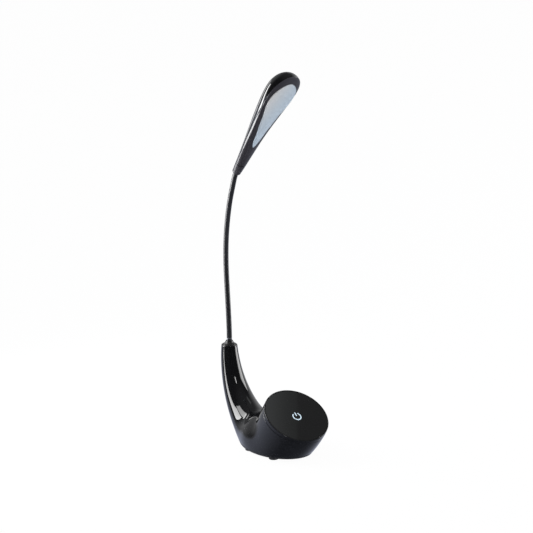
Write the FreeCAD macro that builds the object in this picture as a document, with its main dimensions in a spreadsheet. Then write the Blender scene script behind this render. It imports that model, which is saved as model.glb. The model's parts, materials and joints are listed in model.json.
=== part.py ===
"""Gooseneck desk lamp with a touch base.

The base is one bent, tapering form: a bowl that carries a sloping touch panel, and a horn that
rises behind it to hold the gooseneck. The gooseneck carries a teardrop head with an LED board.

Frame: +Z up, the bowl points to -Y, the lamp is symmetric about X = 0, and the origin is on the
table, under the middle of the lamp's length. Lengths are in millimetres, angles in degrees.
"""
import FreeCAD, Part
import math
import os
import Sketcher

os.makedirs("parts", exist_ok=True)
doc = FreeCAD.newDocument("gooseneck_desk_lamp")
Vector = FreeCAD.Vector
X_AXIS = Vector(1, 0, 0)
Z_AXIS = Vector(0, 0, 1)

# Driving dimensions

DIMENSIONS = {
    # Sections of the base's form: place of the centre and slope of the section. The bowl's sections
    # are narrower than the panel by their two last sizes; the horn's have a half width and depth
    "panel_y": -56.3, "panel_z": 49.5, "panel_slope": 33.8, "panel_radius": 38.0,
    "cup_y": -46.4, "cup_z": 36.0, "cup_slope": 38.2, "cup_in": 0.4, "cup_in_deep": 0.4,
    "bowl_y": -27.4, "bowl_z": 17.5, "bowl_slope": 61.7, "bowl_in": 1.3, "bowl_in_deep": 2.9,
    "belly_y": -2.0, "belly_z": 12.2, "belly_slope": 83.5, "belly_in": 3.5, "belly_in_deep": 7.0,
    "heel_y": 26.9, "heel_z": 16.1, "heel_slope": 115.3, "heel_in": 14.4, "heel_in_deep": 15.5,
    "horn_low_y": 54.5, "horn_low_z": 38.2, "horn_low_slope": 142.4,
    "horn_low_wide": 16.6, "horn_low_deep": 16.0,
    "horn_mid_y": 70.5, "horn_mid_z": 65.0, "horn_mid_slope": 160.0,
    "horn_mid_wide": 12.6, "horn_mid_deep": 12.6,
    "horn_top_y": 77.8, "horn_top_z": 100.8, "horn_top_slope": 180.0,
    "horn_top_wide": 9.2, "horn_top_deep": 9.2,
    # Base: walls, cover, feet, ballast
    "shell_wall": 2.5, "horn_cap": 8.6,
    "foot_height": 2.2, "foot_radius": 5.4, "foot_inset": 0.8, "foot_gap": 0.1,
    "front_foot_in": 14.7, "front_foot_y": -45.0, "side_foot_in": 11.5, "side_foot_y": -3.0,
    "heel_foot_y": 26.0,
    "cover_thick": 2.4, "seam": 0.12, "thread_gap": 0.05, "screw_gap": 0.2, "tool_clear": 1.0,
    "ballast_gap": 1.5, "ballast_height": 13.0, "ballast_front_y": -58.0, "ballast_back_y": 22.0,
    "screw_radius": 1.5, "screw_head_radius": 2.8, "screw_sink": 0.3, "screw_head_height": 1.3,
    "screw_length": 8.5, "screw_end_gap": 1.3,
    "front_screw_x": 13.0, "front_screw_y": -51.0, "side_screw_x": 21.0, "side_screw_y": 12.0,
    # Touch panel and what lies under it
    "rim_height": 4.6, "rim_lip": 1.1, "rim_edge": 0.4, "spigot_depth": 3.0, "spigot_wall": 1.3,
    "spigot_gap": 0.5, "panel_thick": 1.6, "panel_sink": 0.15, "panel_gap": 0.12,
    "panel_round": 0.35, "board_gap": 0.5, "board_thick": 1.6, "board_screw_in": 2.0,
    "shelf_margin": 2.2,
    "board_screw_radius": 1.1, "board_screw_head": 1.9, "board_screw_head_height": 1.3,
    "board_screw_short": 0.6,
    "pad_radius": 8.5, "pad_bore": 4.0, "indicator_side": 3.2, "indicator_height": 1.1,
    "symbol_radius": 4.75, "symbol_stroke": 1.3, "symbol_gap_angle": 34.0, "symbol_bar_top": 5.9,
    "symbol_bar_bottom": 0.9, "symbol_depth": 0.5, "symbol_offset": -1.2,
    # Power socket at the back of the heel
    "socket_z": 17.0, "socket_radius": 5.4, "socket_bore": 3.2, "socket_bore_depth": 9.0,
    "socket_front_y": 37.0, "socket_back_y": 57.0,
    # Neck anchor, nut and collar in the top of the horn
    "anchor_radius": 4.0, "anchor_bore": 1.3, "anchor_length": 16.8, "nut_radius": 6.6,
    "nut_height": 4.0, "collar_bottom_radius": 7.9, "collar_top_radius": 3.5, "collar_height": 4.6,
    # Gooseneck: points of its centre line, and its links
    "neck_rise": 7.6, "neck_1_y": 80.6, "neck_1_z": 150.0, "neck_2_y": 84.3, "neck_2_z": 214.0,
    "neck_3_y": 78.6, "neck_3_z": 259.0, "neck_radius": 3.0, "neck_bore": 1.3, "link_gap": 0.3,
    # Head: place, slope and length; half width, crown and belly at stations along it
    "head_y": 62.4, "head_z": 306.2, "head_slope": 41.2, "head_length": 168.5,
    "head_wall": 1.8, "head_split": 1.5, "head_seam_at": 15.5, "neck_gap": 1.4,
    "ferrule_radius": 3.7, "ferrule_length": 15.0,
    "ferrule_stop": 3.0, "window_start": 47.5, "window_nose": 10.5, "bezel_gap": 0.1,
    "bezel_seam": 0.02, "flange_wide": 1.4, "flange_thick": 1.2, "tray_height": 3.0,
    "tray_wall": 1.0, "tray_out": 0.2, "led_edge": 1.2, "spreader_in": 0.5,
    "led_board_thick": 1.0, "spreader_thick": 1.0, "led_long": 3.5, "led_wide": 2.8,
    "led_thick": 0.8, "led_pitch": 9.0, "wire_way": 1.5,
}
HEAD_STATIONS = (0.0, 0.12, 0.25, 0.40, 0.60, 0.72, 0.82)
HEAD_HALF_WIDTHS = (5.0, 7.4, 9.6, 11.7, 16.0, 18.6, 19.5)
HEAD_CROWNS = (5.0, 6.6, 9.0, 13.6, 18.0, 19.4, 19.8)
HEAD_BELLIES = (5.0, 4.2, 2.6, 1.9, 1.7, 1.7, 1.7)
HEAD_KEELS = (0.0, 0.5, 1.2, 1.5, 1.5, 1.5, 1.5)
NOSE_STEPS = (0.3, 0.55, 0.75, 0.9, 0.975, 0.998)
WINDOW_STATIONS = (0.0, 0.03, 0.30, 0.55, 0.78, 0.93)
WINDOW_HALF_WIDTHS = (0.0, 1.9, 6.0, 12.1, 15.9, 11.0)
LINK_COUNT = 12
BOARD_SCREWS = 3

sheet = doc.addObject("Spreadsheet::Sheet", "Sizes")
for row, (alias, value) in enumerate(DIMENSIONS.items(), start=1):
    sheet.set(f"A{row}", alias)
    sheet.set(f"B{row}", str(value))
    sheet.setAlias(f"B{row}", alias)
stations = {"width": HEAD_HALF_WIDTHS, "crown": HEAD_CROWNS, "belly": HEAD_BELLIES,
            "keel": HEAD_KEELS, "station": HEAD_STATIONS,
            "window_station": WINDOW_STATIONS, "window_width": WINDOW_HALF_WIDTHS}
row = len(DIMENSIONS)
for kind, values in stations.items():
    for index, value in enumerate(values):
        row += 1
        sheet.set(f"A{row}", f"head_{kind}_{index}")
        sheet.set(f"B{row}", str(value))
        sheet.setAlias(f"B{row}", f"head_{kind}_{index}")
doc.recompute()


def size(alias):
    """Value of a driving dimension, from the sheet."""
    return float(sheet.get(alias))


def sizes(kind):
    """Values along the head of one kind, such as its half widths."""
    return [size(f"head_{kind}_{index}") for index in range(len(stations[kind]))]


# Helpers for parts of the document

NODES = {}


def keep(name, thing):
    """Names an object of the document as a finished sub-part."""
    thing.Label = name
    NODES[name] = thing
    return thing


def bind(thing, **expressions):
    """Binds properties to expressions on the sheet's cells; __ in a key stands for a dot."""
    for key, text in expressions.items():
        thing.setExpression(key.replace("__", "."), text)
    return thing


def tilt_on_panel(thing):
    """Places a sub-part that is drawn flat, with its top at Z = 0, on the sloping panel."""
    thing.Placement = FreeCAD.Placement(Vector(), FreeCAD.Rotation(X_AXIS, 30))
    return bind(thing, Placement__Base__y="Sizes.panel_y", Placement__Base__z="Sizes.panel_z",
                Placement__Rotation__Angle="Sizes.panel_slope")


def tilt_on_head(thing):
    """Places a sub-part that is drawn with the head's axis upright in the head."""
    thing.Placement = FreeCAD.Placement(Vector(), FreeCAD.Rotation(X_AXIS, 40))
    return bind(thing, Placement__Base__y="Sizes.head_y", Placement__Base__z="Sizes.head_z",
                Placement__Rotation__Angle="Sizes.head_slope")


def profile(sketch, points):
    """Closed outline of straight lines. Each point is a pair of expressions, across and up."""
    count = len(points)
    spread = [Vector(10 + 5 * math.cos(math.tau * i / count), 5 * math.sin(math.tau * i / count))
              for i in range(count)]
    first = sketch.GeometryCount
    for i in range(count):
        sketch.addGeometry(Part.LineSegment(spread[i], spread[(i + 1) % count]))
    for i in range(count):
        line = first + i
        sketch.addConstraint(Sketcher.Constraint("Coincident", line, 2, first + (i + 1) % count, 1))
    for i, (across, up) in enumerate(points):
        for text, kind, axis in ((across, "DistanceX", -2), (up, "DistanceY", -1)):
            if text == "0":
                sketch.addConstraint(Sketcher.Constraint("PointOnObject", first + i, 1, axis))
                continue
            number = sketch.addConstraint(Sketcher.Constraint(kind, -1, 1, first + i, 1, 5.0 + i))
            sketch.setExpression(f"Constraints[{number}]", text)


def circle(sketch, radius, x="0", y="0"):
    """Circle in a sketch, with its radius and centre bound to expressions."""
    index = sketch.addGeometry(Part.Circle(Vector(1, 1, 0), Z_AXIS, 1.0))
    number = sketch.addConstraint(Sketcher.Constraint("Radius", index, 1.0))
    sketch.setExpression(f"Constraints[{number}]", radius)
    for text, kind, axis in ((x, "DistanceX", -2), (y, "DistanceY", -1)):
        if text == "0":
            sketch.addConstraint(Sketcher.Constraint("PointOnObject", index, 3, axis))
            continue
        number = sketch.addConstraint(Sketcher.Constraint(kind, -1, 1, index, 3, 1.0))
        sketch.setExpression(f"Constraints[{number}]", text)


def sketch_in(body, role, name):
    """Sketch on one of the body's own origin planes."""
    plane = next(item for item in body.Origin.OriginFeatures if item.Role == role)
    sketch = body.newObject("Sketcher::SketchObject", name)
    sketch.AttachmentSupport = [(plane, "")]
    sketch.MapMode = "FlatFace"
    return sketch


def turned(name, points):
    """Body of revolution about Z from a closed outline of (radius, height) expressions."""
    body = doc.addObject("PartDesign::Body", f"{name}_body")
    sketch = sketch_in(body, "XZ_Plane", f"{name}_outline")
    profile(sketch, points)
    turn = body.newObject("PartDesign::Revolution", f"{name}_turn")
    turn.Profile = sketch
    turn.ReferenceAxis = (sketch, ["V_Axis"])
    turn.Angle = 360
    sketch.Visibility = False
    return keep(name, body)


def shaped(name, shape):
    """Sub-part whose shape is worked out here from the sheet's values."""
    feature = doc.addObject("Part::Feature", f"{name}_shape")
    feature.Shape = shape
    return feature


def half_ellipse(section, side):
    """Half of a section's ellipse as a B-spline: a half circle whose poles are stretched."""
    place, wide, above, below = section
    arc = Part.Arc(X_AXIS, Vector(0, 1, 0), -X_AXIS).toBSpline()
    depth = above if side > 0 else -below
    for index, pole in enumerate(arc.getPoles(), start=1):
        arc.setPole(index, place.multVec(Vector(pole.x * wide, pole.y * depth, 0)))
    return arc


def strides(rings):
    """Where each ring of poles lies along the form, by the mean stride between the rings."""
    steps = [0.0]
    for ring, following in zip(rings, rings[1:]):
        stride = sum(pole.distanceToPoint(other) for pole, other in zip(ring, following))
        steps.append(steps[-1] + stride / len(ring))
    return steps


def skin(arcs, steps):
    """Surface through the arcs: every column of poles becomes a cubic spline along the form."""
    lines = []
    for column in zip(*(arc.getPoles() for arc in arcs)):
        line = Part.BSplineCurve()
        line.interpolate(Points=list(column), Parameters=steps)
        lines.append(line)
    across, along = arcs[0], lines[0]
    surface = Part.BSplineSurface()
    surface.buildFromPolesMultsKnots(
        [line.getPoles() for line in lines], across.getMultiplicities(),
        along.getMultiplicities(), across.getKnots(), along.getKnots(), False, False,
        across.Degree, along.Degree, [[weight] * along.NbPoles for weight in across.getWeights()])
    return surface


def skinned(sections):
    """Closed solid with a smooth skin through sections (placement, half width, two depths)."""
    halves = [[half_ellipse(section, side) for section in sections] for side in (1, -1)]
    steps = strides([[*upper.getPoles(), *lower.getPoles()] for upper, lower in zip(*halves)])
    faces = [skin(arcs, steps).toShape() for arcs in halves]
    for end in (0, -1):
        faces.append(Part.Face(Part.Wire([arcs[end].toShape() for arcs in halves])))
    shell = Part.makeShell(faces)
    shell.sewShape()
    solid = Part.makeSolid(shell)
    if solid.Volume < 0:
        solid.reverse()
    return solid


BOWL_STATIONS = ("cup", "bowl", "belly", "heel")
HORN_STATIONS = ("horn_low", "horn_mid", "horn_top")


def base_section(y, z, slope, wide, deep):
    """Elliptical section across the base's form."""
    return (FreeCAD.Placement(Vector(0, y, z), FreeCAD.Rotation(X_AXIS, slope)), wide, deep, deep)


def base_form(name, deduct=0.0, drop=None):
    """Bent form of bowl and horn, drawn in all round, from a drop below the panel's face."""
    if drop is None:
        drop = size("rim_height") + size("seam")
    slope = size("panel_slope")
    y = size("panel_y") + drop * math.sin(math.radians(slope))
    z = size("panel_z") - drop * math.cos(math.radians(slope))
    radius = size("panel_radius") - deduct
    sections = [base_section(y, z, slope, radius, radius)]
    for station in BOWL_STATIONS + HORN_STATIONS:
        y, z, slope = (size(f"{station}_{kind}") for kind in ("y", "z", "slope"))
        if station in BOWL_STATIONS:
            wide, deep = radius - size(f"{station}_in"), radius - size(f"{station}_in_deep")
        else:
            wide, deep = size(f"{station}_wide") - deduct, size(f"{station}_deep") - deduct
        sections.append(base_section(y, z, slope, wide, deep))
    return shaped(name, skinned(sections))


def box(name, low, high):
    """Box between two corners, each given as three expressions."""
    block = doc.addObject("Part::Box", name)
    names = ("x", "y", "z")
    for axis, bottom, top, side in zip(names, low, high, ("Length", "Width", "Height")):
        block.setExpression(f"Placement.Base.{axis}", bottom)
        block.setExpression(side, f"({top}) - ({bottom})")
    return block


def cylinder(name, radius, height, x="0", y="0", z="0", rotation=None):
    """Cylinder on a point, along Z unless turned."""
    rod = doc.addObject("Part::Cylinder", name)
    if rotation is not None:
        rod.Placement = FreeCAD.Placement(Vector(), rotation)
    return bind(rod, Radius=radius, Height=height, Placement__Base__x=x, Placement__Base__y=y,
                Placement__Base__z=z)


def cut(name, base, *tools):
    """Base less the tools."""
    result = base
    for index, tool in enumerate(tools):
        step = doc.addObject("Part::Cut", f"{name}_cut_{index}")
        step.Base = result
        step.Tool = tool
        result = step
    return result


def common(name, *things):
    """What the things share."""
    step = doc.addObject("Part::MultiCommon", f"{name}_common")
    step.Shapes = list(things)
    return step


def fuse(name, *things):
    """The things as one."""
    step = doc.addObject("Part::MultiFuse", f"{name}_fuse")
    step.Shapes = list(things)
    return step


def group(name, things):
    """Identical separate solids that share one name."""
    step = doc.addObject("Part::Compound", f"{name}_group")
    step.Links = list(things)
    return keep(name, step)


# Base: shell, rim, cover and ballast

FAR = "2 * Sizes.horn_top_z"
COVER_TOP = "Sizes.foot_height + Sizes.cover_thick"
SHELL_BOTTOM = f"{COVER_TOP} + Sizes.seam"


def make_base_shell():
    """One moulding of bowl and horn, open under the rim and below, solid at the horn's top."""
    outside = base_form("base_outside")
    hollow = base_form("base_inside", size("shell_wall"), size("rim_height") / 2)
    below_cap = box("below_cap", (f"-{FAR}", f"-{FAR}", f"-{FAR}"),
                    (FAR, FAR, "Sizes.horn_top_z - Sizes.horn_cap"))
    hollow = common("hollow", hollow, below_cap)
    underground = box("underground", (f"-{FAR}", f"-{FAR}", f"-{FAR}"), (FAR, FAR, SHELL_BOTTOM))
    bore = cylinder("anchor_hole", "Sizes.anchor_radius + Sizes.thread_gap",
                    "Sizes.horn_cap + 2 * Sizes.tool_clear", y="Sizes.horn_top_y",
                    z="Sizes.horn_top_z - Sizes.horn_cap - Sizes.tool_clear")
    socket_hole = cylinder("socket_hole", "Sizes.socket_radius + Sizes.seam",
                           "2 * (Sizes.socket_back_y - Sizes.socket_front_y)",
                           y="Sizes.socket_front_y", z="Sizes.socket_z",
                           rotation=FreeCAD.Rotation(X_AXIS, -90))
    shell = cut("base_shell", outside, hollow, underground, bore, socket_hole)
    return keep("base_shell", shell)


SHELF_TOP = "-Sizes.panel_sink - Sizes.panel_thick"
RIM_BOTTOM = "-Sizes.rim_height"
SPIGOT_OUTER = "Sizes.panel_radius - Sizes.shell_wall - Sizes.spigot_gap"
BOARD_RADIUS = f"{SPIGOT_OUTER} - Sizes.spigot_wall - Sizes.board_gap"
SCREW_CIRCLE = f"{BOARD_RADIUS} - Sizes.board_screw_in"
SHELF_RADIUS = f"{SCREW_CIRCLE} - Sizes.shelf_margin"


def ring_of_holes(body, name, radius):
    """Three holes through a flat body on the circle of the board's screws."""
    holes = sketch_in(body, "XY_Plane", f"{name}_holes")
    circle(holes, radius, y=SCREW_CIRCLE)
    pocket = body.newObject("PartDesign::Pocket", f"{name}_pocket")
    pocket.Profile = holes
    pocket.Type = 1
    pocket.Midplane = True
    doc.recompute()
    pattern = body.newObject("PartDesign::PolarPattern", f"{name}_pattern")
    pattern.Originals = [pocket]
    pattern.Axis = (holes, ["N_Axis"])
    pattern.Angle = 360
    pattern.Occurrences = BOARD_SCREWS
    body.Tip = pattern
    holes.Visibility = False


def make_panel_rim():
    """Ring between bowl and touch panel: a lip round the panel, a shelf under it, a spigot below."""
    lip = "Sizes.panel_radius - Sizes.rim_lip"
    spigot_inner = f"{SPIGOT_OUTER} - Sizes.spigot_wall"
    spigot_end = f"{RIM_BOTTOM} - Sizes.spigot_depth"
    rim = turned("panel_rim", [
        ("Sizes.panel_radius", RIM_BOTTOM), ("Sizes.panel_radius", "-Sizes.rim_edge"),
        ("Sizes.panel_radius - Sizes.rim_edge", "0"), (lip, "0"), (lip, SHELF_TOP),
        (SHELF_RADIUS, SHELF_TOP), (SHELF_RADIUS, RIM_BOTTOM),
        (spigot_inner, RIM_BOTTOM), (spigot_inner, spigot_end), (SPIGOT_OUTER, spigot_end),
        (SPIGOT_OUTER, RIM_BOTTOM)])
    doc.recompute()
    ring_of_holes(rim, "panel_rim", "Sizes.board_screw_radius + Sizes.thread_gap")
    return tilt_on_panel(rim)


def make_bottom_cover():
    """Flat plate under the whole base, with its lower edge rounded and pockets for the feet."""
    outside = base_form("cover_outside")
    slab = box("cover_slab", (f"-{FAR}", f"-{FAR}", "Sizes.foot_height"), (FAR, FAR, COVER_TOP))
    plate = common("cover_plate", outside, slab)
    holes = [cylinder(f"cover_hole_{i}", "Sizes.screw_radius + Sizes.screw_gap",
                      f"{COVER_TOP} + Sizes.tool_clear", x, y)
             for i, (x, y) in enumerate(screw_places())]
    sinks = [cylinder(f"cover_sink_{i}", "Sizes.screw_head_radius + Sizes.screw_gap",
                      "Sizes.foot_height + Sizes.screw_sink + Sizes.screw_head_height", x, y)
             for i, (x, y) in enumerate(screw_places())]
    sockets = [cylinder(f"foot_pocket_{i}", "Sizes.foot_radius + Sizes.foot_gap",
                        "Sizes.foot_height + Sizes.foot_inset", x, y)
               for i, (x, y) in enumerate(foot_places())]
    return keep("bottom_cover", cut("bottom_cover", plate, *holes, *sinks, *sockets))


def screw_places():
    """Where the cover's screws go up into the ballast."""
    return [(f"{side}Sizes.{row}_screw_x", f"Sizes.{row}_screw_y")
            for row in ("front", "side") for side in ("", "-")]


def foot_places():
    """Two feet at the front, two at the sides and one under the heel."""
    pairs = [(f"{side}(Sizes.panel_radius - Sizes.{row}_foot_in)", f"Sizes.{row}_foot_y")
             for row in ("front", "side") for side in ("", "-")]
    return pairs + [("0", "Sizes.heel_foot_y")]


def make_ballast():
    """Cast iron block that fills the floor of the bowl and carries the cover's screws."""
    inside = base_form("ballast_form", size("shell_wall") + size("ballast_gap"))
    block = box("ballast_block", (f"-{FAR}", "Sizes.ballast_front_y", COVER_TOP),
                (FAR, "Sizes.ballast_back_y", f"{COVER_TOP} + Sizes.ballast_height"))
    body = common("ballast_body", inside, block)
    depth = "Sizes.screw_sink + Sizes.screw_length + Sizes.screw_end_gap"
    holes = [cylinder(f"ballast_hole_{i}", "Sizes.screw_radius", depth, x, y, "Sizes.foot_height")
             for i, (x, y) in enumerate(screw_places())]
    return keep("ballast", cut("ballast", body, *holes))


def make_cover_screws():
    """Four screws sunk into the cover from below, that hold it to the ballast."""
    screws = []
    bottom = "Sizes.foot_height + Sizes.screw_sink"
    for i, (x, y) in enumerate(screw_places()):
        head = cylinder(f"cover_screw_head_{i}", "Sizes.screw_head_radius",
                        "Sizes.screw_head_height", x, y, bottom)
        shank = cylinder(f"cover_screw_shank_{i}", "Sizes.screw_radius - Sizes.thread_gap",
                         "Sizes.screw_length", x, y, bottom)
        screws.append(fuse(f"cover_screw_{i}", head, shank))
    return group("cover_screws", screws)


def make_rubber_feet():
    """Five round rubber feet set into the cover."""
    feet = [cylinder(f"foot_{i}", "Sizes.foot_radius", "Sizes.foot_height + Sizes.foot_inset", x, y)
            for i, (x, y) in enumerate(foot_places())]
    return group("rubber_feet", feet)


# Touch panel and what lies under it, drawn flat with the panel's rim at Z = 0

BOARD_BOTTOM = f"{RIM_BOTTOM} - Sizes.board_thick"


def power_symbol(depth):
    """Broken ring with a bar through the gap, upright on the slope, as a solid of a given depth."""
    radius = size("symbol_radius")
    stroke = size("symbol_stroke")
    half_gap = math.radians(size("symbol_gap_angle"))
    offset = size("symbol_offset")
    solids = []
    outer, inner = radius + stroke / 2, radius - stroke / 2
    start, end = math.pi / 2 + half_gap, math.pi * 5 / 2 - half_gap

    def at(r, angle):
        return Vector(r * math.cos(angle), offset + r * math.sin(angle), 0)

    middle = (start + end) / 2
    ring = Part.Wire([Part.Arc(at(outer, start), at(outer, middle), at(outer, end)).toShape(),
                      Part.makeLine(at(outer, end), at(inner, end)),
                      Part.Arc(at(inner, end), at(inner, middle), at(inner, start)).toShape(),
                      Part.makeLine(at(inner, start), at(outer, start))])
    solids.append(Part.Face(ring).extrude(Vector(0, 0, depth)))
    low, high = offset + size("symbol_bar_bottom"), offset + size("symbol_bar_top")
    solids.append(Part.makeBox(stroke, high - low, depth, Vector(-stroke / 2, low, 0)))
    return solids


def make_touch_panel():
    """Glossy disc in the rim, with a recess for the power symbol's inlay."""
    top = "-Sizes.panel_sink"
    radius = "Sizes.panel_radius - Sizes.rim_lip - Sizes.panel_gap"
    panel = turned("touch_panel", [("0", SHELF_TOP), (radius, SHELF_TOP),
                                   (radius, f"{top} - Sizes.panel_round"),
                                   (f"{radius} - Sizes.panel_round", top), ("0", top)])
    doc.recompute()
    shape = panel.Shape.copy()
    depth = size("symbol_depth")
    level = -size("panel_sink") - depth
    for solid in power_symbol(depth + 1):
        shape = shape.cut(solid.translated(Vector(0, 0, level)))
    disc = shaped("touch_panel_disc", shape)
    symbol = Part.makeCompound([solid.translated(Vector(0, 0, level))
                                for solid in power_symbol(depth)])
    inlay = shaped("power_symbol_inlay", symbol)
    panel.Label = "touch_panel_blank"
    keep("touch_panel", tilt_on_panel(disc))
    keep("power_symbol", tilt_on_panel(inlay))


def make_touch_board():
    """Round circuit board screwed up against the rim's shelf."""
    body = doc.addObject("PartDesign::Body", "touch_board_body")
    sketch = sketch_in(body, "XY_Plane", "touch_board_outline")
    circle(sketch, BOARD_RADIUS)
    pad = body.newObject("PartDesign::Pad", "touch_board_pad")
    pad.Profile = sketch
    bind(pad, Length="Sizes.board_thick")
    doc.recompute()
    ring_of_holes(body, "touch_board", "Sizes.board_screw_radius + Sizes.screw_gap")
    sketch.Visibility = False
    tilt_on_panel(body)
    slope = "Sizes.panel_slope * 1 deg"
    bind(body, Placement__Base__y=f"Sizes.panel_y - ({BOARD_BOTTOM}) * sin({slope})",
         Placement__Base__z=f"Sizes.panel_z + ({BOARD_BOTTOM}) * cos({slope})")
    return keep("touch_board", body)


def on_panel(name, solids):
    """Sub-part made of separate solids that are drawn flat under the panel."""
    return keep(name, tilt_on_panel(shaped(name, Part.makeCompound(solids))))


def make_panel_details():
    """Touch pad between board and panel, indicator light, and the board's three screws."""
    shelf_top = -size("panel_sink") - size("panel_thick")
    board_top = -size("rim_height")
    height = shelf_top - board_top
    ring = Part.makeCylinder(size("pad_radius"), height, Vector(0, 0, board_top))
    eye = Part.makeCylinder(size("pad_bore"), height, Vector(0, 0, board_top))
    on_panel("touch_pad", [ring.cut(eye)])
    side = size("indicator_side")
    corner = Vector(-side / 2, -side / 2, board_top)
    on_panel("indicator_light", [Part.makeBox(side, side, size("indicator_height"), corner)])
    screws = []
    board_bottom = board_top - size("board_thick")
    head_height = size("board_screw_head_height")
    shank_length = size("board_thick") + height - size("board_screw_short")
    circle_radius = (size("panel_radius") - size("shell_wall") - size("spigot_gap")
                     - size("spigot_wall") - size("board_gap") - size("board_screw_in"))
    for turn in range(BOARD_SCREWS):
        angle = math.radians(90 + 360 / BOARD_SCREWS * turn)
        spot = Vector(math.cos(angle), math.sin(angle), 0) * circle_radius
        shank = Part.makeCylinder(size("board_screw_radius"), shank_length,
                                  spot + Vector(0, 0, board_bottom))
        head = Part.makeCylinder(size("board_screw_head"), head_height,
                                 spot + Vector(0, 0, board_bottom - head_height))
        screws.append(shank.fuse(head).removeSplitter())
    on_panel("board_screws", screws)


# Power socket

def make_power_socket():
    """Round low-voltage inlet in the back of the heel: a barrel with a bore for the plug."""
    length = "Sizes.socket_back_y - Sizes.socket_front_y"
    bore_end = f"{length} - Sizes.socket_bore_depth"
    body = turned("power_socket", [
        ("0", "0"), ("Sizes.socket_radius", "0"), ("Sizes.socket_radius", length),
        ("Sizes.socket_bore", length), ("Sizes.socket_bore", bore_end), ("0", bore_end)])
    body.Placement = FreeCAD.Placement(Vector(), FreeCAD.Rotation(X_AXIS, -90))
    return bind(body, Placement__Base__y="Sizes.socket_front_y", Placement__Base__z="Sizes.socket_z")


# Neck anchor, nut and collar

HORN_TOP = "Sizes.horn_top_z"


def make_neck_anchor():
    """Threaded tube through the horn's top; its domed upper end carries the first link."""
    tube = doc.addObject("Part::Cylinder", "anchor_tube")
    bottom = f"{HORN_TOP} - Sizes.anchor_length"
    bind(tube, Radius="Sizes.anchor_radius", Height="Sizes.anchor_length",
         Placement__Base__y="Sizes.horn_top_y", Placement__Base__z=bottom)
    stub = doc.addObject("Part::Cylinder", "anchor_stub")
    bind(stub, Radius="Sizes.neck_radius", Height="Sizes.neck_rise + Sizes.anchor_radius",
         Placement__Base__y="Sizes.horn_top_y",
         Placement__Base__z=f"{HORN_TOP} - Sizes.anchor_radius")
    dome = doc.addObject("Part::Sphere", "anchor_dome")
    bind(dome, Radius="Sizes.neck_radius", Placement__Base__y="Sizes.horn_top_y",
         Placement__Base__z=f"{HORN_TOP} + Sizes.neck_rise")
    bore = cylinder("anchor_bore", "Sizes.anchor_bore", "2 * Sizes.anchor_length + Sizes.neck_rise",
                    y="Sizes.horn_top_y", z=f"{bottom} - Sizes.tool_clear")
    return keep("neck_anchor", cut("neck_anchor", fuse("anchor", tube, stub, dome), bore))


def make_neck_nut():
    """Hexagon nut that pulls the anchor down inside the horn."""
    prism = doc.addObject("Part::Prism", "nut_prism")
    prism.Polygon = 6
    bind(prism, Circumradius="Sizes.nut_radius", Height="Sizes.nut_height",
         Placement__Base__y="Sizes.horn_top_y",
         Placement__Base__z=f"{HORN_TOP} - Sizes.horn_cap - Sizes.nut_height")
    bore = cylinder("nut_bore", "Sizes.anchor_radius + Sizes.thread_gap", "2 * Sizes.anchor_length",
                    y="Sizes.horn_top_y", z=f"{HORN_TOP} - 2 * Sizes.anchor_length")
    return keep("neck_nut", cut("neck_nut", prism, bore))


def make_stem_collar():
    """Low black cone that closes the horn round the gooseneck."""
    cone = doc.addObject("Part::Cone", "collar_cone")
    bind(cone, Radius1="Sizes.collar_bottom_radius", Radius2="Sizes.collar_top_radius",
         Height="Sizes.collar_height", Placement__Base__y="Sizes.horn_top_y",
         Placement__Base__z=HORN_TOP)
    bore = cylinder("collar_bore", "Sizes.neck_radius + Sizes.thread_gap",
                    "2 * (Sizes.collar_height + Sizes.tool_clear)", y="Sizes.horn_top_y",
                    z=f"{HORN_TOP} - Sizes.tool_clear")
    return keep("stem_collar", cut("stem_collar", cone, bore))


# Gooseneck

def head_axis():
    """Direction of the head's length."""
    slope = math.radians(size("head_slope"))
    return Vector(0, -math.sin(slope), math.cos(slope))


def joint_centres():
    """Centres of the gooseneck's joints, evenly spaced along its centre line."""
    base = Vector(0, size("horn_top_y"), size("horn_top_z") + size("neck_rise"))
    top = Vector(0, size("head_y"), size("head_z")) - head_axis() * size("neck_gap")
    middle = [Vector(0, size(f"neck_{i}_y"), size(f"neck_{i}_z")) for i in (1, 2, 3)]
    line = Part.BSplineCurve()
    line.interpolate([base, *middle, top])
    return line.toShape().discretize(Number=LINK_COUNT + 1)


def make_links():
    """Tubular links with a dome at the top and a hollow for the last link's dome at the bottom."""
    centres = joint_centres()
    radius = size("neck_radius")
    for index in range(LINK_COUNT):
        low, high = centres[index], centres[index + 1]
        along = high.sub(low)
        length = along.Length
        tube = Part.makeCylinder(radius, length, low, along)
        dome = Part.makeSphere(radius, high)
        hollow = Part.makeSphere(radius + size("link_gap"), low)
        bore = Part.makeCylinder(size("neck_bore"), 3 * length, low.sub(along), along)
        link = tube.fuse(dome).removeSplitter().cut(hollow).cut(bore)
        keep(f"gooseneck_link_{index + 1:02d}", shaped(f"link_{index + 1}", link))


# Head, drawn with its length along Z, its crown towards +Y and its light side towards -Y

def head_form(deduct=0.0):
    """Teardrop form through the head's stations and round its nose, drawn in by a deduction."""
    length = size("head_length")
    table = list(zip(sizes("station"), sizes("width"), sizes("crown"), sizes("belly"),
                     sizes("keel")))
    rings = []
    for station, width, crown, belly, keel in table:
        rings.append((station * length, width - deduct, crown - deduct, belly + keel, keel))
    start, width, crown, belly, keel = rings[-1]
    reach = length - deduct - start
    for step in NOSE_STEPS:
        shrink = math.sqrt(1 - step * step)
        rings.append((start + reach * step, width * shrink, crown * shrink, belly * shrink, keel))
    return skinned([(FreeCAD.Placement(Vector(0, keel, at), FreeCAD.Rotation()), wide, crown, belly)
                    for at, wide, crown, belly, keel in rings])


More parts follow.
